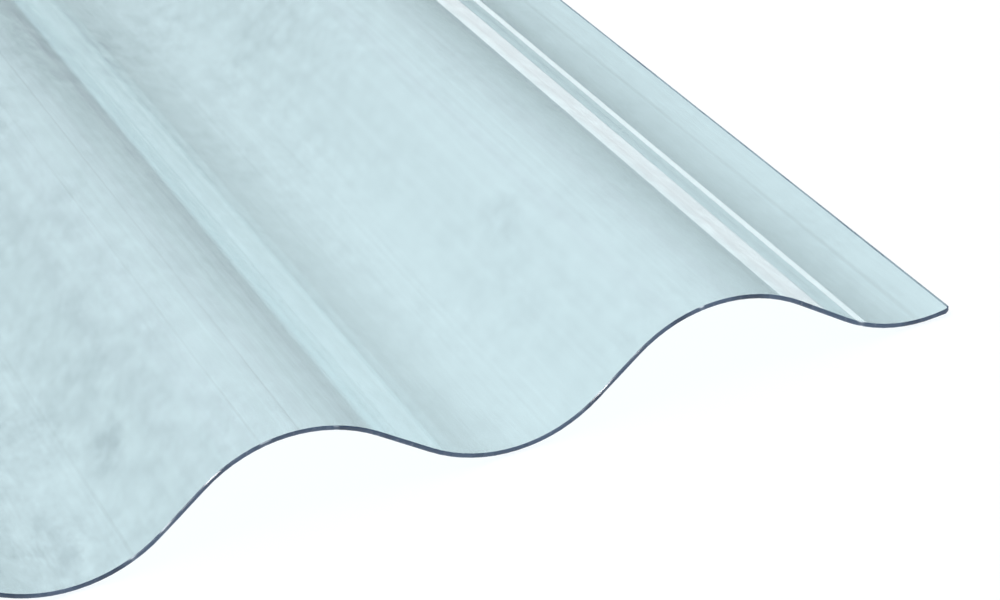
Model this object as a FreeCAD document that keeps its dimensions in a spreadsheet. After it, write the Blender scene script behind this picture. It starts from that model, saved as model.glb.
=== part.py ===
# Corrugated polycarbonate sheet, clear, with a rounded wave profile.
# It is one extruded piece: a thin skin that runs in even waves across its width and is
# straight along its length. Millimetres, +X across the waves, +Y along them, +Z up.
# The origin is on the floor under the middle of the sheet: the troughs rest on z = 0.
import FreeCAD
import Part
import math
import os
import sys

import Sketcher

# Driving dimensions: the cell's name, its plain number and what it measures.
DRIVING = [
    ("sheet_width", 850.0, "across the waves, side edge to side edge"),
    ("sheet_length", 1800.0, "along the waves, cut end to cut end"),
    ("pitch", 76.0, "crest to crest"),
    ("depth", 16.0, "underside of a trough to top of a crest"),
    ("thickness", 0.8, "of the skin, square to its surface"),
    ("flank_straight", 10.0, "straight stretch between a crest's bend and a trough's"),
    ("edge_past_trough", 5.0, "how far the right side edge stands beyond the last trough"),
    ("corner_radius", 1.0, "of the four corners, seen from above"),
]

# Sizes that follow. The middle line of the skin rises mid_rise over a quarter of a wave,
# and a bend of bend_radius meets the straight flank with no kink. The row of waves is made
# wider than the sheet, and each side cut reaches cut_reach past what it removes.
DERIVED = [
    ("mid_rise", "(depth - thickness) / 2"),
    ("quarter", "pitch / 4"),
    ("bend_radius", "(quarter^2 + mid_rise^2 - (flank_straight / 2)^2) / (2 * mid_rise)"),
    ("outer_bend", "bend_radius + thickness / 2"),
    ("inner_bend", "bend_radius - thickness / 2"),
    ("crest_centre_z", "depth - outer_bend"),
    ("trough_centre_z", "outer_bend"),
    ("right_crest_x", "sheet_width / 2 - edge_past_trough + pitch / 2"),
    ("wave_count", "ceil((sheet_width - edge_past_trough) / pitch) + 1"),
    ("row_length", "(wave_count - 1) * pitch"),
    ("row_left_x", "right_crest_x - row_length - pitch / 2"),
    ("row_right_x", "right_crest_x + pitch / 2"),
    ("cut_reach", "pitch / 4"),
]

START, END, CENTRE = 1, 2, 3


def make_sizes(doc):
    """The spreadsheet of sizes, one row each: name, value or formula, meaning."""
    sheet = doc.addObject("Spreadsheet::Sheet", "sizes")
    rows = [(name, str(value), meaning) for name, value, meaning in DRIVING]
    rows += [(name, "=" + formula, "") for name, formula in DERIVED]
    for number, (name, content, meaning) in enumerate(rows, start=1):
        sheet.set(f"A{number}", name)
        sheet.set(f"B{number}", content)
        sheet.set(f"C{number}", meaning)
        sheet.setAlias(f"B{number}", name)
    doc.recompute()
    return sheet


def new_sketch(body, name, role):
    """A sketch on one of the body's own origin planes."""
    plane = next(f for f in body.Origin.OriginFeatures if f.Role == role)
    sketch = body.newObject("Sketcher::SketchObject", name)
    sketch.AttachmentSupport = [(plane, "")]
    sketch.MapMode = "FlatFace"
    return sketch


def bind(sketch, name, constraint, formula):
    """Adds a named constraint whose value is a formula of the sizes."""
    index = sketch.addConstraint(constraint)
    sketch.renameConstraint(index, name)
    sketch.setExpression(f"Constraints.{name}", formula)


def draw_face_line(sketch, sizes, face, crest_bend, trough_bend):
    """The outline of one face of the skin over one wave, trough bottom to trough bottom.

    It is half a trough's bend, a straight flank, the crest's bend, a flank and half a
    trough's bend. Gives back the first and the last curve, which end at trough bottoms.
    """
    crest_x, half = sizes.right_crest_x, sizes.pitch / 2
    crest_z, trough_z = sizes.crest_centre_z, sizes.trough_centre_z
    crest_r, trough_r = sizes.get(crest_bend), sizes.get(trough_bend)
    lean = math.atan2(sizes.quarter, sizes.bend_radius - sizes.mid_rise)
    lean -= math.atan2(sizes.flank_straight / 2, sizes.bend_radius)
    up, down = math.pi / 2, -math.pi / 2

    def bend(x, z, radius, first, last):
        centre = FreeCAD.Vector(x, z, 0)
        circle = Part.Circle(centre, FreeCAD.Vector(0, 0, 1), radius)
        return Part.ArcOfCircle(circle, first, last)

    left_bend = bend(crest_x - half, trough_z, trough_r, down, down + lean)
    crest = bend(crest_x, crest_z, crest_r, up - lean, up + lean)
    right_bend = bend(crest_x + half, trough_z, trough_r, down - lean, down)
    rising = Part.LineSegment(left_bend.EndPoint, crest.EndPoint)
    falling = Part.LineSegment(crest.StartPoint, right_bend.StartPoint)
    curves = [left_bend, rising, crest, falling, right_bend]
    left, rise, top, fall, right = sketch.addGeometry(curves, False)

    sketch.addConstraint(Sketcher.Constraint("Tangent", left, END, rise, START))
    sketch.addConstraint(Sketcher.Constraint("Tangent", rise, END, top, END))
    sketch.addConstraint(Sketcher.Constraint("Tangent", top, START, fall, START))
    sketch.addConstraint(Sketcher.Constraint("Tangent", fall, END, right, START))
    sketch.addConstraint(Sketcher.Constraint("Vertical", left, START, left, CENTRE))
    sketch.addConstraint(Sketcher.Constraint("Vertical", right, END, right, CENTRE))
    places = [
        ("left", left, trough_bend, "sizes.right_crest_x - sizes.pitch / 2", "sizes.trough_centre_z"),
        ("crest", top, crest_bend, "sizes.right_crest_x", "sizes.crest_centre_z"),
        ("right", right, trough_bend, "sizes.right_crest_x + sizes.pitch / 2", "sizes.trough_centre_z"),
    ]
    for name, curve, radius, x_formula, z_formula in places:
        centre = sketch.getPoint(curve, CENTRE)
        here = Sketcher.Constraint("DistanceX", -1, START, curve, CENTRE, centre.x)
        bind(sketch, f"{face}_{name}_x", here, x_formula)
        here = Sketcher.Constraint("DistanceY", -1, START, curve, CENTRE, centre.y)
        bind(sketch, f"{face}_{name}_z", here, z_formula)
        here = Sketcher.Constraint("Radius", curve, sizes.get(radius))
        bind(sketch, f"{face}_{name}_bend", here, f"sizes.{radius}")
    return left, right


def draw_wave_section(sketch, sizes):
    """The closed section of the skin over one wave: top face, underside and two joins."""
    top_left, top_right = draw_face_line(sketch, sizes, "top", "outer_bend", "inner_bend")
    low_left, low_right = draw_face_line(sketch, sizes, "under", "inner_bend", "outer_bend")
    for upper, lower, end in ((top_left, low_left, START), (top_right, low_right, END)):
        line = Part.LineSegment(sketch.getPoint(upper, end), sketch.getPoint(lower, end))
        join = sketch.addGeometry(line, False)
        sketch.addConstraint(Sketcher.Constraint("Coincident", upper, end, join, START))
        sketch.addConstraint(Sketcher.Constraint("Coincident", lower, end, join, END))


def draw_cut(sketch, name, inner_x, outer_x, half_length):
    """A rectangle in plan between two formulas in x, as long as the sheet and its margins."""
    corners = [(0, 0), (1, 0), (1, 1), (0, 1)]
    points = [FreeCAD.Vector(x, y, 0) for x, y in corners]
    sides = [Part.LineSegment(points[i], points[(i + 1) % 4]) for i in range(4)]
    near, outer, far, inner = sketch.addGeometry(sides, False)
    loop = [near, outer, far, inner]
    for i in range(4):
        sketch.addConstraint(Sketcher.Constraint("Coincident", loop[i], END, loop[(i + 1) % 4], START))
    for side in (near, far):
        sketch.addConstraint(Sketcher.Constraint("Horizontal", side))
    for side in (outer, inner):
        sketch.addConstraint(Sketcher.Constraint("Vertical", side))
    here = Sketcher.Constraint("DistanceX", -1, START, near, START, 0.0)
    bind(sketch, f"{name}_inner", here, inner_x)
    here = Sketcher.Constraint("DistanceX", -1, START, near, END, 1.0)
    bind(sketch, f"{name}_outer", here, outer_x)
    here = Sketcher.Constraint("DistanceY", -1, START, near, START, 0.0)
    bind(sketch, f"{name}_near", here, f"-({half_length})")
    here = Sketcher.Constraint("DistanceY", -1, START, far, START, 1.0)
    bind(sketch, f"{name}_far", here, half_length)


def corner_edges(shape, sizes):
    """The names of the four short upright edges at the sheet's corners."""
    names = []
    for number, edge in enumerate(shape.Edges, start=1):
        box = edge.BoundBox
        upright = box.XLength < sizes.thickness / 10 and box.YLength < sizes.thickness / 10
        at_side = abs(abs(box.Center.x) - sizes.sheet_width / 2) < sizes.thickness
        if upright and at_side:
            names.append(f"Edge{number}")
    return names


def make_sheet(doc, sizes):
    """The sheet's body: one wave padded to length, repeated, cut to width, corners eased."""
    body = doc.addObject("PartDesign::Body", "corrugated_sheet")
    body.Label = "corrugated_sheet"

    section = new_sketch(body, "wave_section", "XZ_Plane")
    draw_wave_section(section, sizes)
    wave = body.newObject("PartDesign::Pad", "one_wave")
    wave.Profile = section
    wave.SideType = "Symmetric"
    wave.setExpression("Length", "sizes.sheet_length")
    doc.recompute()

    row = body.newObject("PartDesign::LinearPattern", "wave_row")
    row.Originals = [wave]
    row.Direction = (section, ["H_Axis"])
    row.Reversed = True
    row.setExpression("Length", "sizes.row_length")
    row.setExpression("Occurrences", "sizes.wave_count")
    body.Tip = row
    doc.recompute()

    plan = new_sketch(body, "side_cuts_plan", "XY_Plane")
    half_length = "sizes.sheet_length / 2 + sizes.cut_reach"
    draw_cut(plan, "right", "sizes.sheet_width / 2", "sizes.row_right_x + sizes.cut_reach", half_length)
    draw_cut(plan, "left", "sizes.row_left_x - sizes.cut_reach", "-sizes.sheet_width / 2", half_length)
    cuts = body.newObject("PartDesign::Pocket", "side_cuts")
    cuts.Profile = plan
    cuts.SideType = "Symmetric"
    cuts.setExpression("Length", "2 * (sizes.depth + sizes.cut_reach)")
    doc.recompute()

    corners = body.newObject("PartDesign::Fillet", "eased_corners")
    corners.Base = (cuts, corner_edges(cuts.Shape, sizes))
    corners.setExpression("Radius", "sizes.corner_radius")
    doc.recompute()
    return body


def check(doc, body):
    """Stops on a failed object or a bad solid, because a recompute fails quietly."""
    for thing in doc.Objects:
        if any(state in ("Invalid", "Error") for state in thing.State):
            sys.exit(f"{thing.Name} failed: {thing.State}")
    shape = body.Shape
    if shape.isNull() or not shape.isValid() or len(shape.Solids) != 1:
        sys.exit(f"{body.Label} is not one valid solid")


def main():
    doc = FreeCAD.newDocument("corrugated_sheet")
    sizes = make_sizes(doc)
    body = make_sheet(doc, sizes)
    check(doc, body)
    os.makedirs("parts", exist_ok=True)
    body.Shape.exportStep(os.path.join("parts", body.Label + ".step"))
    box = body.Shape.BoundBox
    print(f"{body.Label}: {box.XLength:.2f} x {box.YLength:.2f} x {box.ZLength:.2f} mm,", end=" ")
    print(f"{body.Shape.Volume / 1000:.1f} cm3, {len(body.Shape.Faces)} faces")


main()
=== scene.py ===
# %% [markdown]
# A clear corrugated roofing sheet, lying flat on a white floor.
# The real thing is one skin of polycarbonate, 0.8 mm thick, pressed into even rounded waves as
# it comes out of the die. This lesson models the skin, gives it a clear tinted finish with the
# marks of its making and use, and sets it on a floor in soft studio light.
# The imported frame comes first, because every piece has to lie where the frame says.

# %% The frame
import math

import bmesh
import bpy
from mathutils import Matrix, Vector


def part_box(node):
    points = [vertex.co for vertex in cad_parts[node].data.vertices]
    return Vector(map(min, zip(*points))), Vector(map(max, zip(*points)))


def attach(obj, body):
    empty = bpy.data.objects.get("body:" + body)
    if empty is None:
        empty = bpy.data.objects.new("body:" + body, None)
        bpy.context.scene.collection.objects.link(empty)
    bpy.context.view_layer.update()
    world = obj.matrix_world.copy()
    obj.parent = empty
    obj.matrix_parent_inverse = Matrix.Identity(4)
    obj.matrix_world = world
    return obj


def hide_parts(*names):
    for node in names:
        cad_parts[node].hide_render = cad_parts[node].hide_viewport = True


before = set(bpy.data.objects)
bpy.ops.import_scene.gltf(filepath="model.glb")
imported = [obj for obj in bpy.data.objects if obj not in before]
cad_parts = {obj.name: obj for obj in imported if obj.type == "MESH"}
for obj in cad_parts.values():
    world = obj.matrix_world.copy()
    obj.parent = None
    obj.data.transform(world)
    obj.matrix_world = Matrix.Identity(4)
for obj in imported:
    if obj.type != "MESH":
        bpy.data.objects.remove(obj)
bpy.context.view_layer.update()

low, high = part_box("corrugated_sheet")
print("frame box in metres:", [round(v, 4) for v in (*low, *high)])

# %% [markdown]
# The wave. A roofing sheet's wave is two round bends of the same size, one up and one down,
# joined by a short straight flank. It could be drawn as a sine curve, but a sine has no
# straight flank and turns more sharply at its crests, so the bends are worked out as they are
# pressed: from the pitch, the depth and the flank, by plain geometry on the skin's middle line.

# %% Sizes of the wave
MM = 0.001
PITCH = 76 * MM
DEPTH = 16 * MM
THICKNESS = 0.8 * MM
FLANK = 10 * MM
EDGE_PAST_TROUGH = 5 * MM

rise = (DEPTH - THICKNESS) / 2
quarter = PITCH / 4
bend_radius = (quarter**2 + rise**2 - (FLANK / 2) ** 2) / (2 * rise)
lean = math.atan2(quarter, bend_radius - rise) - math.atan2(FLANK / 2, bend_radius)
right_crest = high[0] - EDGE_PAST_TROUGH - PITCH / 2
print(f"bend radius {bend_radius / MM:.2f} mm, flank leans {math.degrees(lean):.1f} degrees")

# %% [markdown]
# Half a wave. The skin's cut end is a narrow wavy strip. The strip starts as one short edge,
# as tall as the skin is thick, on top of a crest. Spin turns that edge about the middle of the
# crest's bend, extrude carries it down the flank, and a second spin takes it round to the
# bottom of the trough. A mirror makes the other half of the wave, so the two halves match.

# %% Half a wave, mirrored
BEND_STEPS = 8
WELD = THICKNESS / 100


def everything(bm):
    """All that a bmesh holds, as the operators want it."""
    return bm.verts[:] + bm.edges[:] + bm.faces[:]


def spun(bm, edge, centre_z, x, angle):
    """Turns the strip's last edge about a bend's centre and gives back the new last edge."""
    turned = bmesh.ops.spin(
        bm, geom=[edge, *edge.verts], cent=(x, 0, centre_z), axis=(0, 1, 0), dvec=(0, 0, 0),
        angle=angle, steps=BEND_STEPS, use_merge=False, use_normal_flip=False, use_duplicate=False,
    )
    return next(e for e in turned["geom_last"] if isinstance(e, bmesh.types.BMEdge))


section = bmesh.new()
top = section.verts.new((0, 0, DEPTH))
under = section.verts.new((0, 0, DEPTH - THICKNESS))
crest_edge = section.edges.new((top, under))
crest_centre_z = DEPTH - THICKNESS / 2 - bend_radius
trough_centre_z = THICKNESS / 2 + bend_radius
flank_top = spun(section, crest_edge, crest_centre_z, 0, lean)
carried = bmesh.ops.extrude_edge_only(section, edges=[flank_top])["geom"]
flank_foot = next(e for e in carried if isinstance(e, bmesh.types.BMEdge))
downhill = Vector((math.cos(lean), 0, -math.sin(lean))) * FLANK
bmesh.ops.translate(section, verts=flank_foot.verts[:], vec=downhill)
spun(section, flank_foot, trough_centre_z, PITCH / 2, -lean)
bmesh.ops.mirror(
    section, geom=everything(section), matrix=Matrix.Identity(4), merge_dist=WELD, axis="X",
)
print("one wave:", len(section.faces), "faces")

# %% [markdown]
# The row of waves. The sheet is wider than one wave, so the wave is copied side by side from
# the right side edge. The row comes out too wide, as it does from the die, and is then trimmed
# at both side edges with bisect_plane, which cuts straight through a wave wherever the edge falls.

# %% A row of waves, trimmed to width
wave = everything(section)
bmesh.ops.translate(section, verts=section.verts[:], vec=(right_crest + PITCH, 0, 0))
waves_needed = math.ceil((right_crest + PITCH - low[0]) / PITCH) + 1
for number in range(1, waves_needed):
    copied = bmesh.ops.duplicate(section, geom=wave)["geom"]
    copied_verts = [v for v in copied if isinstance(v, bmesh.types.BMVert)]
    bmesh.ops.translate(section, verts=copied_verts, vec=(-PITCH * number, 0, 0))
bmesh.ops.remove_doubles(section, verts=section.verts[:], dist=WELD)
for edge_x, outwards in ((high[0], 1), (low[0], -1)):
    bmesh.ops.bisect_plane(
        section, geom=everything(section), dist=WELD / 10,
        plane_co=(edge_x, 0, 0), plane_no=(outwards, 0, 0), clear_outer=True,
    )
print("section:", len(section.faces), "faces from", waves_needed, "waves")

# %% [markdown]
# The length. The strip is the cut end, and pulling it backwards makes the sheet, which is what
# the die does. One long pull leaves faces as long as the sheet and two millimetres wide, and
# such slivers shade and unwrap badly, so the long edges are then divided into even steps.

# %% The strip pulled to length
LENGTH_STEPS = 30

sheet_length = high[1] - low[1]
bmesh.ops.translate(section, verts=section.verts[:], vec=(0, low[1], 0))
pulled = bmesh.ops.extrude_face_region(section, geom=section.faces[:])["geom"]
pulled_verts = [v for v in pulled if isinstance(v, bmesh.types.BMVert)]
bmesh.ops.translate(section, verts=pulled_verts, vec=(0, sheet_length, 0))
long_edges = [e for e in section.edges if e.calc_length() > sheet_length / 2]
bmesh.ops.subdivide_edges(section, edges=long_edges, cuts=LENGTH_STEPS - 1, use_grid_fill=True)
bmesh.ops.recalc_face_normals(section, faces=section.faces[:])
open_edges = sum(len(e.link_faces) != 2 for e in section.edges)
print("sheet:", len(section.faces), "faces,", open_edges, "open or doubled edges")

# %% [markdown]
# The four corners. They are eased to a small radius, so that they don't catch. A corner could
# be cut with a cylinder, but it is only one upright edge between two cut faces, and a bevel of
# that edge does the same. To find it, the cut faces are picked out first: they lie at the rim
# of the sheet, and their normals lie almost flat.

# %% Eased corners
CORNER_RADIUS = 1 * MM
CORNER_STEPS = 4
SHARP_CORNER = math.radians(60)
ALMOST_FLAT = 0.35


def at_cut_end(face):
    """True for faces within the corner radius of the near or the far cut end."""
    centre = face.calc_center_median()
    return min(abs(centre.y - low[1]), abs(centre.y - high[1])) < CORNER_RADIUS


def at_side_edge(face):
    """True for faces within the corner radius of the left or the right side edge."""
    centre = face.calc_center_median()
    return min(abs(centre.x - low[0]), abs(centre.x - high[0])) < CORNER_RADIUS


def on_cut(face):
    """True for the faces of the cut ends and side edges, which are only as tall as the skin."""
    return (at_cut_end(face) or at_side_edge(face)) and abs(face.normal.z) < ALMOST_FLAT


corner_edges = [
    e for e in section.edges
    if all(on_cut(f) for f in e.link_faces) and abs(e.calc_face_angle(0)) > SHARP_CORNER
]
bmesh.ops.bevel(
    section, geom=corner_edges, offset=CORNER_RADIUS, offset_type="OFFSET", segments=CORNER_STEPS,
    profile=0.5, affect="EDGES", clamp_overlap=True, material=-1,
)
print("corners eased:", len(corner_edges))

# %% [markdown]
# Worn arrises. An arris is the sharp line where a cut meets the skin, and handling wears it to
# a very narrow slope. That slope is what catches the light as a thin line round the rim. It
# could be left to a shading trick, but a narrow bevel holds up in close views as well. At a
# rounded corner the bevel leaves a point a hair past the cut, and that point is brought back.
# The worn faces get a mark of their own, because the finish of the cut looks for it later.

# %% Worn arrises
ARRIS = 0.15 * MM

worn_mark = section.faces.layers.float.new("arris")
cut_faces = {f for f in section.faces if on_cut(f)}
arrises = [e for e in section.edges if len(cut_faces.intersection(e.link_faces)) == 1]
worn = bmesh.ops.bevel(
    section, geom=arrises, offset=ARRIS, offset_type="OFFSET", segments=1,
    profile=0.5, affect="EDGES", clamp_overlap=True, material=-1,
)
for vert in section.verts:
    vert.co.y = min(max(vert.co.y, low[1]), high[1])
print("arris faces:", len(worn["faces"]))

# %% [markdown]
# One mesh, three finishes. The skin is clear, but a sawn end looks dark blue, because light
# that enters there runs along inside the skin and loses its warm colours, so that dark blue is
# painted on as shade. The long side edges look paler and get a paler finish. So the sawn ends
# and their arrises get the second material and the side edges the third. Shading is smooth
# over the waves, and it breaks wherever the finish changes or an arris turns sharply.

# %% Finishes and shading
SKIN, CUT, SIDE = 0, 1, 2
CRISP_ANGLE = math.radians(30)
SIDEWAYS = 0.7

for face in section.faces:
    face.smooth = True
    face.material_index = CUT if on_cut(face) else SKIN
for face in worn["faces"]:
    if face.is_valid:
        face.material_index = CUT
        face[worn_mark] = 1.0
for face in section.faces:
    if abs(face.normal.x) > SIDEWAYS and not at_cut_end(face):
        face.material_index = SIDE
for edge in section.edges:
    same_finish = len({f.material_index for f in edge.link_faces}) == 1
    edge.smooth = same_finish and edge.calc_face_angle() < CRISP_ANGLE
finishes = [face.material_index for face in section.faces]
print("faces of skin, sawn end and side edge:", [finishes.count(n) for n in (SKIN, CUT, SIDE)])

# %% [markdown]
# The sheet as an object. It stands at the origin, unturned, with its place in its mesh. It
# rides on the one body of the frame and takes the place of the plain CAD sheet.

# %% The sheet as an object
sheet_mesh = bpy.data.meshes.new("clear_sheet")
section.to_mesh(sheet_mesh)
section.free()
sheet = bpy.data.objects.new("clear_sheet", sheet_mesh)
bpy.context.scene.collection.objects.link(sheet)
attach(sheet, "root")
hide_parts("corrugated_sheet")
sheet_mesh.calc_loop_triangles()
print("triangles:", len(sheet_mesh.loop_triangles))

# %% [markdown]
# Adding nodes. Each pattern below is a small chain of nodes. Written out in full, every node
# takes a line to make it and a line for each link, so one helper fills a socket, either with a
# plain value or by a link, and another makes a node and fills its inputs by name.

# %% Node helpers


def put(tree, socket, value):
    """Links another node's output to the socket, or sets the socket to a plain value."""
    if isinstance(value, bpy.types.NodeSocket):
        tree.links.new(value, socket)
    else:
        socket.default_value = value


def add(tree, kind, settings=None, **inputs):
    """A new node. Inputs are outputs of other nodes or plain values, with _ for a space."""
    node = tree.nodes.new(kind)
    for name, value in (settings or {}).items():
        setattr(node, name, value)
    for name, value in inputs.items():
        put(tree, node.inputs[name.replace("_", " ")], value)
    return node


def calculated(tree, operation, first, second):
    """Two values joined by one operation of the Math node."""
    node = add(tree, "ShaderNodeMath", {"operation": operation})
    put(tree, node.inputs[0], first)
    put(tree, node.inputs[1], second)
    return node.outputs["Value"]


def new_material(name):
    """An empty material that uses nodes, with its output node."""
    material = bpy.data.materials.new(name)
    material.use_nodes = True
    material.node_tree.nodes.clear()
    return material, add(material.node_tree, "ShaderNodeOutputMaterial")


skin, skin_out = new_material("clear_skin")
print("first material:", skin.name)

# %% [markdown]
# Patterns on the sheet. Dust, haze and scratches are all soft noise that differs in how it is
# stretched. An image could be painted, but noise on the object's own coordinates has no seams
# and keeps its real size. Where a mark, a patch of painted shade or a painted glint has one known
# place, an oval with a soft outline stands there instead.

# %% Pattern helpers
SPOT_CORE = 0.2


def noise(tree, stretch, detail=3.0, roughness=0.5):
    """Noise on object coordinates, with stretch as cycles per metre along x, y and z."""
    place = add(tree, "ShaderNodeTexCoord").outputs["Object"]
    scaled = add(tree, "ShaderNodeMapping", Vector=place, Scale=stretch)
    return add(
        tree, "ShaderNodeTexNoise", Vector=scaled.outputs["Vector"],
        Scale=1.0, Detail=detail, Roughness=roughness,
    ).outputs["Fac"]


def between(tree, value, start, end, at_start=0.0, at_end=1.0):
    """The value's stretch from start to end, turned into a stretch from at_start to at_end."""
    limits = {"From Min": start, "From Max": end, "To Min": at_start, "To Max": at_end}
    node = add(tree, "ShaderNodeMapRange", Value=value)
    for name, limit in limits.items():
        node.inputs[name].default_value = limit
    return node.outputs["Result"]


def soft_spot(tree, centre, reach):
    """One at the core of an oval on the sheet, fading to nothing at its outline."""
    place = add(tree, "ShaderNodeTexCoord").outputs["Object"]
    scale = [1 / half for half in reach]
    shift = [-middle * factor for middle, factor in zip(centre, scale)]
    oval = add(tree, "ShaderNodeMapping", Vector=place, Scale=(*scale, 0), Location=(*shift, 0))
    away = add(tree, "ShaderNodeVectorMath", {"operation": "LENGTH"}, Vector=oval.outputs["Vector"])
    return between(tree, away.outputs["Value"], SPOT_CORE, 1.0, 1.0, 0.0)


tree = skin.node_tree
CLOUDS = (270.0, 140.0, 0.0)
PATCHES = (45.0, 25.0, 0.0)
clouds = noise(tree, CLOUDS, detail=5.0, roughness=0.65)
patches = noise(tree, PATCHES, detail=2.0)
print(f"clouds of about {1 / CLOUDS[0] / MM:.0f} mm in patches of about {1 / PATCHES[0] / MM:.0f} mm")

# %% [markdown]
# Haze and painted shade. A sheet that has been handled and stacked isn't even: a thin haze lies
# all over it. The soft spots on it are partly thicker haze and partly painted shade, laid where
# the sheet should look dimmer under this light, as in the dark bands where it mirrors the low
# sky. The long strip on the outermost flank is painted shade that dims that flank's bright
# reflection all along. Each spot is given as its place from the right crest and from the near
# end, its half width, its half length and its strength. The thickest spot wins at each point,
# and cloudy noise breaks all of them up; that mottling is partly haze and partly a painted
# reflection of a cloudy sky.

# %% Haze and painted shade
THIN_HAZE = 0.3
# Spots of haze and of painted shade, where the sheet should look dimmer under this light.
HAZY_AND_SHADED_SPOTS = (
    (-19 * MM, 85 * MM, 17 * MM, 75 * MM, 0.45),
    (-15 * MM, 61 * MM, 7 * MM, 15 * MM, 0.9),
    (-40 * MM, 100 * MM, 12 * MM, 120 * MM, 0.5),
    (-35 * MM, 190 * MM, 55 * MM, 110 * MM, 0.8),
    (-67 * MM, 220 * MM, 12 * MM, 110 * MM, 1.3),
    (-88 * MM, 150 * MM, 14 * MM, 60 * MM, 1.4),
    (-92 * MM, 80 * MM, 42 * MM, 240 * MM, 0.8),
    (-97 * MM, 66 * MM, 22 * MM, 70 * MM, 1.1),
    (-99 * MM, 32 * MM, 7 * MM, 12 * MM, 2.0),
    (-116 * MM, 58 * MM, 26 * MM, 55 * MM, 1.8),
    (-118 * MM, 16 * MM, 24 * MM, 34 * MM, 1.3),
    # Painted shade: dims the bright reflection on the outermost falling flank all along.
    (15.5 * MM, 200 * MM, 5 * MM, 1200 * MM, 3.0),
)
PATCHY = {"start": 0.3, "end": 0.65, "at_start": 0.35, "at_end": 1.0}
CLOUDY = {"start": 0.35, "end": 0.65, "at_start": 0.1, "at_end": 1.0}

deepest_haze_and_shade = THIN_HAZE
for from_crest, from_end, half_width, half_length, strength in HAZY_AND_SHADED_SPOTS:
    centre = (right_crest + from_crest, low[1] + from_end)
    spot = soft_spot(tree, centre, (half_width, half_length))
    deepest_haze_and_shade = calculated(tree, "MAXIMUM", deepest_haze_and_shade, calculated(tree, "MULTIPLY", spot, strength))
deepest_haze_and_shade = calculated(tree, "MULTIPLY", deepest_haze_and_shade, between(tree, patches, **PATCHY))
haze_and_shade = calculated(tree, "MULTIPLY", between(tree, clouds, **CLOUDY), deepest_haze_and_shade)
print("hazy spots:", len(HAZY_AND_SHADED_SPOTS))

# %% [markdown]
# Drag lines. Dirt on the lip of the die draws a straight line down the whole sheet, and the
# edge of a neighbouring sheet leaves another. A long thin mesh could stand for each, but the
# lines have no height, so they are drawn in the material: one wherever the distance across
# the sheet is close to the line's own. Each has an offset from the right crest, a half width
# and a depth of tone.

# %% Drag lines
DRAG_LINES = (
    (36.7 * MM, 0.25 * MM, 0.07),
    (-64.4 * MM, 0.20 * MM, 0.05),
    (-66.8 * MM, 0.30 * MM, 0.03),
    (-69.0 * MM, 0.30 * MM, 0.03),
    (-74.0 * MM, 0.06 * MM, 0.15),
    (-80.5 * MM, 0.06 * MM, 0.13),
    (-104.0 * MM, 0.06 * MM, 0.15),
)
DRAG_PATCHY = {"start": 0.3, "end": 0.6, "at_start": 0.4, "at_end": 1.0}

place = add(tree, "ShaderNodeTexCoord").outputs["Object"]
across = add(tree, "ShaderNodeSeparateXYZ", Vector=place)
drag = 0.0
for offset, half_width, depth in DRAG_LINES:
    aside = calculated(tree, "SUBTRACT", across.outputs["X"], right_crest + offset)
    aside = calculated(tree, "ABSOLUTE", aside, 0.0)
    line = between(tree, aside, half_width, 2 * half_width, depth, 0.0)
    drag = calculated(tree, "MAXIMUM", drag, line)
drag = calculated(tree, "MULTIPLY", drag, between(tree, patches, **DRAG_PATCHY))
print("drag lines:", len(DRAG_LINES))

# %% [markdown]
# Brushed streaks. Under the haze the skin has fine lines along its length, from the polished
# rollers, and sheets that slide over one another rub a faint violet grey into the crests. Both
# are noise that is drawn out along the sheet. The rubbing grows with height above the floor,
# because the crests are what touches.

# %% Streaks and rubbed crests
STREAKS = (380.0, 0.8, 0.0)
FINE_STREAKS = (1600.0, 3.5, 0.0)
RUBBED_WITH_HEIGHT = {"start": 0.3 * DEPTH, "end": DEPTH, "at_start": 0.1, "at_end": 1.0}
STREAKY = {"start": 0.4, "end": 0.65}
BRUSHED = {"start": 0.35, "end": 0.65, "at_start": 0.955, "at_end": 1.0}

streaks = noise(tree, STREAKS, detail=3.0, roughness=0.6)
fine_streaks = noise(tree, FINE_STREAKS, detail=3.0, roughness=0.7)
rubbed = between(tree, across.outputs["Z"], **RUBBED_WITH_HEIGHT)
rubbed = calculated(tree, "MULTIPLY", rubbed, between(tree, streaks, **STREAKY))
shade = calculated(tree, "SUBTRACT", 1.0, drag)
shade = calculated(tree, "MULTIPLY", shade, between(tree, fine_streaks, **BRUSHED))
print(f"streaks {1 / STREAKS[0] / MM:.1f} mm wide, fine ones {1 / FINE_STREAKS[0] / MM:.1f} mm")

# %% [markdown]
# Colour. The clear skin has a faint blue-green tint. A plain tint would look like new glass,
# so a ramp goes from the pale tint to a darker one as the haze and the painted shade thicken,
# and the rubbing and the lines are then laid over it as stains. The Mix node does that in its
# Multiply mode, as a wash of thin paint darkens what is under it.

# %% Tint of the skin
PALE_TINT = (0.728, 0.888, 0.912)
HAZE_AND_SHADE_TINT = (0.545, 0.672, 0.70)
PLAIN = (1.0, 1.0, 1.0)
VIOLET_STREAK = (0.975, 0.962, 0.972)


def tones(tree, factor, stops):
    """A colour ramp: stops are (position, colour) in order."""
    ramp = add(tree, "ShaderNodeValToRGB", Fac=factor)
    elements = ramp.color_ramp.elements
    while len(elements) < len(stops):
        elements.new(1.0)
    for element, (position, colour) in zip(elements, stops):
        element.position = position
        element.color = (*colour, 1.0)
    return ramp.outputs["Color"]


def layered(tree, blend, under, over, factor=1.0):
    """One colour laid over another: MULTIPLY stains what is under it, MIX covers it."""
    node = add(tree, "ShaderNodeMix", {"data_type": "RGBA", "blend_type": blend})
    sockets = [socket for socket in node.inputs if socket.enabled]
    for socket, value in zip(sockets, (factor, under, over)):
        put(tree, socket, value)
    return next(socket for socket in node.outputs if socket.enabled)


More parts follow.
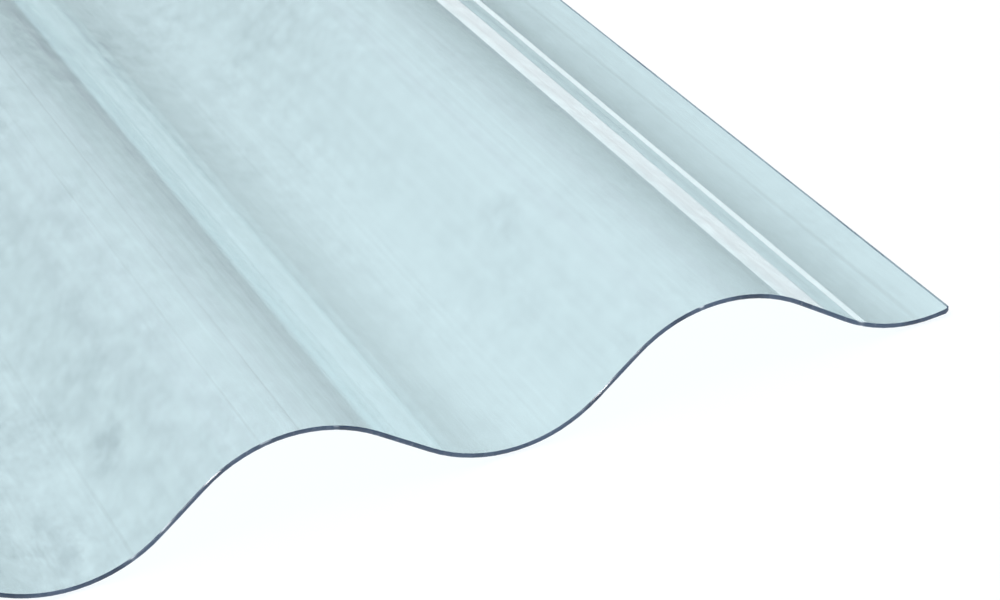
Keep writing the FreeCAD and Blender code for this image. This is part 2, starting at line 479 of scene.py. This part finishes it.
# The darker end of this ramp carries the painted shade as well as the haze.
tint = tones(tree, haze_and_shade, [(0.0, PALE_TINT), (1.0, HAZE_AND_SHADE_TINT)])
rub_stain = tones(tree, rubbed, [(0.0, PLAIN), (1.0, VIOLET_STREAK)])
tint = layered(tree, "MULTIPLY", tint, rub_stain)
tint = layered(tree, "MULTIPLY", tint, shade)
print("tint nodes so far:", len(tree.nodes))

# %% [markdown]
# The clear skin itself. Transmission makes the Principled shader see-through, with the
# refractive index of polycarbonate. Cloudy places also scatter a little, so the clouds drive
# the roughness, and the streaks drive a bump of about a hundredth of a millimetre. Such a skin
# would cast a solid shadow, because Cycles sends no straight light through a shader that bends
# it. So the rays that carry light to matt surfaces, shadow rays and diffuse rays, meet a nearly
# clear Transparent shader instead.

# %% Clear skin
POLYCARBONATE_IOR = 1.585
STREAK_RELIEF = 0.012 * MM
SCATTER = {"start": 0.3, "end": 0.7, "at_start": 0.0, "at_end": 0.04}
SKIN_SHADOW_TINT = (0.97, 0.985, 0.99)


def lets_lamps_through(tree, shader, tint):
    """The shader, but lamp light passes through it instead of casting a solid shadow."""
    clear = add(tree, "ShaderNodeBsdfTransparent", Color=(*tint, 1.0))
    rays = add(tree, "ShaderNodeLightPath").outputs
    lamp_rays = calculated(tree, "MAXIMUM", rays["Is Shadow Ray"], rays["Is Diffuse Ray"])
    shown = add(tree, "ShaderNodeMixShader", Fac=lamp_rays)
    put(tree, shown.inputs[1], shader)
    put(tree, shown.inputs[2], clear.outputs["BSDF"])
    return shown.outputs["Shader"]


relief = add(tree, "ShaderNodeBump", Strength=1.0, Distance=STREAK_RELIEF, Height=streaks)
polycarbonate = add(
    tree, "ShaderNodeBsdfPrincipled", Base_Color=tint, IOR=POLYCARBONATE_IOR,
    Transmission_Weight=1.0, Roughness=between(tree, clouds, **SCATTER),
    Normal=relief.outputs["Normal"],
).outputs["BSDF"]
put(tree, skin_out.inputs["Surface"], lets_lamps_through(tree, polycarbonate, SKIN_SHADOW_TINT))
sheet_mesh.materials.append(skin)
print("skin nodes:", len(tree.nodes))

# %% [markdown]
# The sawn end. It shows as a dark navy line that wanders in tone, with ticks from the saw's
# teeth. That navy is painted shade: the end could be clear like the skin, but its darkness
# comes from light lost inside the sheet, so a glossy navy is both closer and quicker. Here and
# there the upper arris is chipped, and a chip looks pale; these pale chips and the palest saw
# marks also paint in the glints where the rim catches the light. The chips have known places,
# given from the right crest with a half width, and the arris's own mark keeps most of each chip
# off the flat of the cut.

# %% Colour of the sawn end, with painted shade and painted glints
# Painted shade: this navy stands in for light lost inside the clear sheet, not for a dye.
NAVY = (0.025, 0.05, 0.10)
STEEL_BLUE = (0.075, 0.125, 0.21)
# Pale chips and painted glints share this colour.
FLECK_AND_GLINT = (0.66, 0.76, 0.84)
SAW_MARKS_AND_GLINTS = (130.0, 40.0, 130.0)
TOOTH_MARKS = (1100.0, 100.0, 500.0)
RAGGED_CHIP = (350.0, 100.0, 350.0)
SAW_AND_GLINT_TONES = [(0.35, NAVY), (0.55, STEEL_BLUE), (0.66, STEEL_BLUE), (0.69, FLECK_AND_GLINT)]
TICKS = {"start": 0.64, "end": 0.78, "at_start": 0.0, "at_end": 0.3}
# Listed chips, whose pale colour also paints in the rim's glints.
CHIPS_AND_GLINTS = (
    (25.8 * MM, 0.9 * MM),
    (-2.9 * MM, 0.6 * MM),
    (-23.3 * MM, 4.0 * MM),
    (-67.9 * MM, 0.6 * MM),
    (-79.9 * MM, 1.6 * MM),
    (-99.2 * MM, 3.0 * MM),
    (-104.4 * MM, 1.0 * MM),
)
CHIP_LENGTH = 5 * MM
RAGGED_OUTLINE = {"start": 0.42, "end": 0.58}
ON_THE_FLAT = 0.15

cut_edge, cut_out = new_material("cut_edge")
tree = cut_edge.node_tree
saw_marks_and_glints = noise(tree, SAW_MARKS_AND_GLINTS, detail=3.0)
teeth = between(tree, noise(tree, TOOTH_MARKS, detail=2.0), **TICKS)
edge_colour = tones(tree, saw_marks_and_glints, SAW_AND_GLINT_TONES)
edge_colour = layered(tree, "MIX", edge_colour, (*FLECK_AND_GLINT, 1.0), teeth)
chips_and_glints = 0.0
for from_crest, half_width in CHIPS_AND_GLINTS:
    glinting_chip = soft_spot(tree, (right_crest + from_crest, low[1]), (half_width, CHIP_LENGTH))
    chips_and_glints = calculated(tree, "MAXIMUM", chips_and_glints, glinting_chip)
ragged = between(tree, noise(tree, RAGGED_CHIP, detail=3.0), **RAGGED_OUTLINE)
chips_and_glints = calculated(tree, "MULTIPLY", chips_and_glints, ragged)
on_arris = add(tree, "ShaderNodeAttribute", {"attribute_name": "arris"}).outputs["Fac"]
chips_and_glints = calculated(tree, "MULTIPLY", chips_and_glints, between(tree, on_arris, 0.0, 1.0, ON_THE_FLAT, 1.0))
edge_colour = layered(tree, "MIX", edge_colour, (*FLECK_AND_GLINT, 1.0), chips_and_glints)
print("chips:", len(CHIPS_AND_GLINTS))

# %% [markdown]
# Gloss of the sawn end. Where the saw ran true the cut is glossy, and elsewhere it is dull. The
# saw marks' own noise says which, so that the thin line of light along the arris comes and
# goes as it does on the real rim. Lamp light passes through the end too, only dimmer, because
# a clear sheet has no dark outline in its shadow.

# %% Sawn end
SAW_GLOSS = {"start": 0.45, "end": 0.6, "at_start": 0.12, "at_end": 0.5}
EDGE_SHADOW_TINT = (0.80, 0.84, 0.88)

edge_shader = add(
    tree, "ShaderNodeBsdfPrincipled", Base_Color=edge_colour, IOR=POLYCARBONATE_IOR,
    Roughness=between(tree, saw_marks_and_glints, **SAW_GLOSS),
).outputs["BSDF"]
put(tree, cut_out.inputs["Surface"], lets_lamps_through(tree, edge_shader, EDGE_SHADOW_TINT))
sheet_mesh.materials.append(cut_edge)
print("sawn end nodes:", len(tree.nodes))

# %% [markdown]
# The trimmed side edges. They look like a thin line of frosted grey blue, darker in places. The
# navy of the sawn ends would show through the clear skin beside it as a dark band, which the
# real sheet doesn't have, so this finish is paler and rough.

# %% Trimmed side edges
FROSTED = (0.42, 0.50, 0.56)
TRIM_MARKS = (200.0, 60.0, 200.0)
TRIM_TONES = [(0.35, STEEL_BLUE), (0.5, FROSTED)]
TRIM_ROUGHNESS = 0.5

trimmed_side, side_out = new_material("trimmed_side")
tree = trimmed_side.node_tree
side_colour = tones(tree, noise(tree, TRIM_MARKS, detail=4.0), TRIM_TONES)
side_shader = add(
    tree, "ShaderNodeBsdfPrincipled", Base_Color=side_colour, IOR=POLYCARBONATE_IOR,
    Roughness=TRIM_ROUGHNESS,
).outputs["BSDF"]
put(tree, side_out.inputs["Surface"], lets_lamps_through(tree, side_shader, EDGE_SHADOW_TINT))
sheet_mesh.materials.append(trimmed_side)
print("materials on the sheet:", [material.name for material in sheet_mesh.materials])

# %% [markdown]
# The floor. A clear sheet shows what it lies on, so a plain white floor is half of what the eye
# takes for the sheet's own colour. Brighter lamps would make the floor white and wash out the
# sheet with it. A faint glow that only the camera and the clear and mirrored surfaces see lifts
# the floor to white and leaves the sheet's own light, and its soft shadow, alone.

# %% Floor
FLOOR_SIZE = 14.0
FLOOR_DROP = 0.2 * MM
FLOOR_WHITE = (0.92, 0.92, 0.92)
FLOOR_LIFT = 0.08

floor_shape = bmesh.new()
bmesh.ops.create_grid(
    floor_shape, x_segments=1, y_segments=1, size=FLOOR_SIZE / 2,
    matrix=Matrix.Translation((0, 0, low[2] - FLOOR_DROP)),
)
floor_mesh = bpy.data.meshes.new("floor")
floor_shape.to_mesh(floor_mesh)
floor_shape.free()
floor = bpy.data.objects.new("floor", floor_mesh)
bpy.context.scene.collection.objects.link(floor)

floor_finish, floor_out = new_material("pale_floor")
tree = floor_finish.node_tree
matt = add(tree, "ShaderNodeBsdfDiffuse", Color=(*FLOOR_WHITE, 1.0)).outputs["BSDF"]
rays = add(tree, "ShaderNodeLightPath").outputs
seen = calculated(tree, "MAXIMUM", rays["Is Camera Ray"], rays["Is Glossy Ray"])
seen = calculated(tree, "MAXIMUM", seen, rays["Is Transmission Ray"])
lift = add(tree, "ShaderNodeEmission", Strength=calculated(tree, "MULTIPLY", seen, FLOOR_LIFT))
both = add(tree, "ShaderNodeAddShader")
put(tree, both.inputs[0], matt)
put(tree, both.inputs[1], lift.outputs["Emission"])
put(tree, floor_out.inputs["Surface"], both.outputs["Shader"])
floor_mesh.materials.append(floor_finish)
print(f"floor {FLOOR_SIZE:.0f} m wide, {FLOOR_DROP / MM:.1f} mm under the sheet")

# %% [markdown]
# The sky. The waves work as curved mirrors: each part of a wave reflects another height above
# the horizon. A sky of one tone would leave them flat, so it is a ramp on the height, dim and
# greyish at the horizon and pale overhead. The dark bands beside the crests are its low part.

# %% Sky
SKY_TONES = [
    (0.0, (0.10, 0.11, 0.12)),
    (0.3, (0.155, 0.17, 0.18)),
    (0.52, (0.40, 0.43, 0.46)),
    (1.0, (0.75, 0.78, 0.80)),
]

scene = bpy.context.scene
scene.view_settings.view_transform = "Standard"
sky = bpy.data.worlds.new("sky")
scene.world = sky
sky.use_nodes = True
tree = sky.node_tree
tree.nodes.clear()
sky_out = add(tree, "ShaderNodeOutputWorld")
direction = add(tree, "ShaderNodeTexCoord").outputs["Generated"]
height = add(tree, "ShaderNodeSeparateXYZ", Vector=direction).outputs["Z"]
glow = add(tree, "ShaderNodeBackground", Color=tones(tree, height, SKY_TONES), Strength=1.0)
put(tree, sky_out.inputs["Surface"], glow.outputs["Background"])
print("sky tones:", len(SKY_TONES))

# %% [markdown]
# The lamps. One broad softbox hangs over the whole sheet, so that its light is even from end
# to end, and it hangs too high for the waves to mirror it at the camera. The worn arrises of
# the rim want a small hard light, which comes in from the left front. It would also light the
# floor and throw shadows there, so it is kept from matt surfaces and shows in gloss only.

# %% Softbox and glint lamp
SOFTBOX_SIZE = (2.6, 3.4)
SOFTBOX_POWER = 54.0
SOFTBOX_PLACE = (0.1, -0.2, 2.6)
GLINT_SIZE = (0.25, 0.25)
GLINT_POWER = 4.0
GLINT_PLACE = (-0.45, -1.72, 1.0)
GLINT_AIM = Vector((0.3, -0.9, 0.0))


def hung_lamp(name, size, power, place):
    """A rectangular area lamp that faces straight down until it is turned."""
    light = bpy.data.lights.new(name, "AREA")
    light.shape = "RECTANGLE"
    light.size, light.size_y = size
    light.energy = power
    lamp = bpy.data.objects.new(name, light)
    lamp.location = place
    scene.collection.objects.link(lamp)
    return lamp


softbox = hung_lamp("softbox", SOFTBOX_SIZE, SOFTBOX_POWER, SOFTBOX_PLACE)
glint = hung_lamp("glint", GLINT_SIZE, GLINT_POWER, GLINT_PLACE)
glint.rotation_euler = (GLINT_AIM - glint.location).to_track_quat("-Z", "Y").to_euler()
glint.visible_diffuse = False
print("lamps:", softbox.name, glint.name)

# %% [markdown]
# The camera. It looks down on the near right corner of the sheet from the left, through a long
# lens, and is tipped a little to one side. The long lens keeps the waves almost parallel, as
# they run away from the eye.

# %% Camera
LENS = 121.4
SENSOR_WIDTH = 36.0
NEAREST_SEEN = 0.01
CAMERA_PLACE = (0.1862, -1.3516, 0.2789)
CAMERA_TURN = (62.127, 6.691, -22.819)

camera_data = bpy.data.cameras.new("camera")
camera_data.lens = LENS
camera_data.sensor_width = SENSOR_WIDTH
camera_data.clip_start = NEAREST_SEEN
camera = bpy.data.objects.new("camera", camera_data)
camera.location = CAMERA_PLACE
camera.rotation_euler = [math.radians(turn) for turn in CAMERA_TURN]
scene.collection.objects.link(camera)
scene.camera = camera
print(f"camera {(camera.location - high).length:.2f} m from the far right corner")
